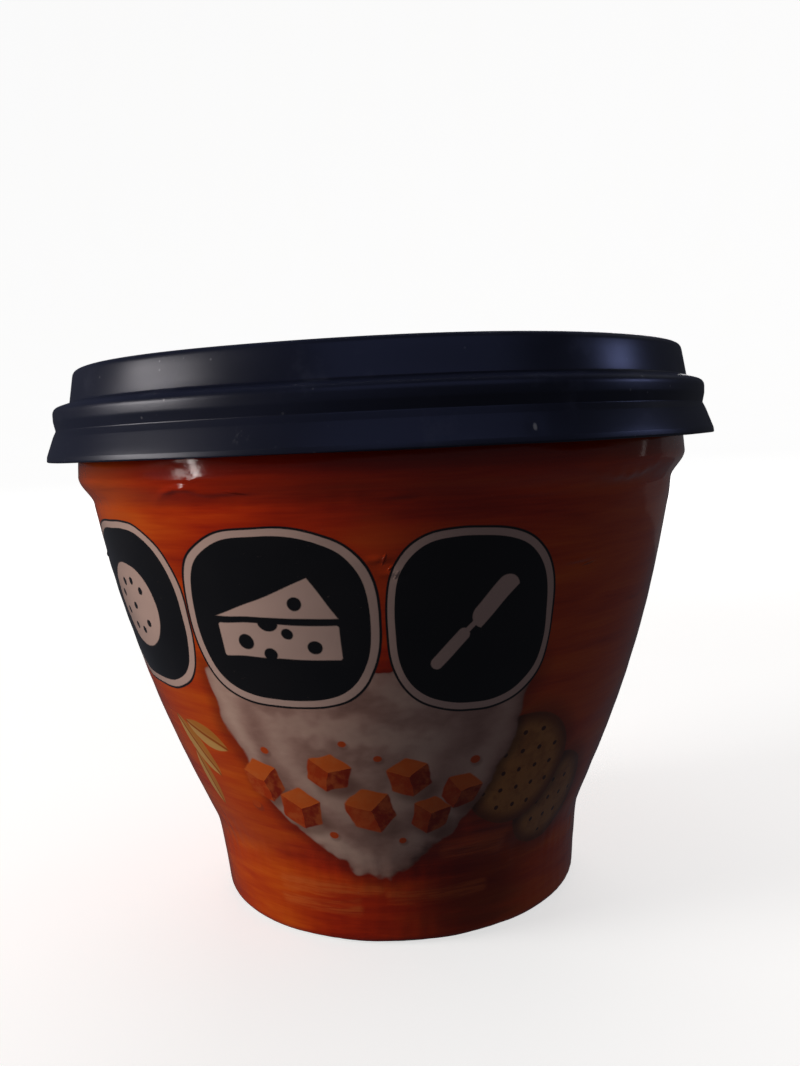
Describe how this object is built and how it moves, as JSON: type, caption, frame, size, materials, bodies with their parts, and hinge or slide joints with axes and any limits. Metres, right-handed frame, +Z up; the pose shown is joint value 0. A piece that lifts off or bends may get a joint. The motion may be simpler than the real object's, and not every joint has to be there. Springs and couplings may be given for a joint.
{
  "type": "cheese spread tub",
  "caption": "Shut round tub of cheese spread: a flared pot in a glossy orange printed film sleeve on a straight foot, closed by a stepped dark blue press-on lid.",
  "frame": {"origin": "centre of the foot ring, on the plane the tub stands on", "axes": "+Z up along the axis of the tub; the printed front, with the dark rounded badges, faces -Y"},
  "size_m": [0.099, 0.099, 0.0809],
  "materials": {
    "printed_sleeve": "glossy orange film sleeve printed with brush strokes, dark rounded badges with pale pictures, and a scoop of cream with orange cheese cubes; bare cream plastic under the foot",
    "lid_plastic": "satin dark blue moulded plastic"
  },
  "bodies": {
    "root": {"pot": "printed_sleeve", "lid": "lid_plastic"}
  },
  "joints": []
}
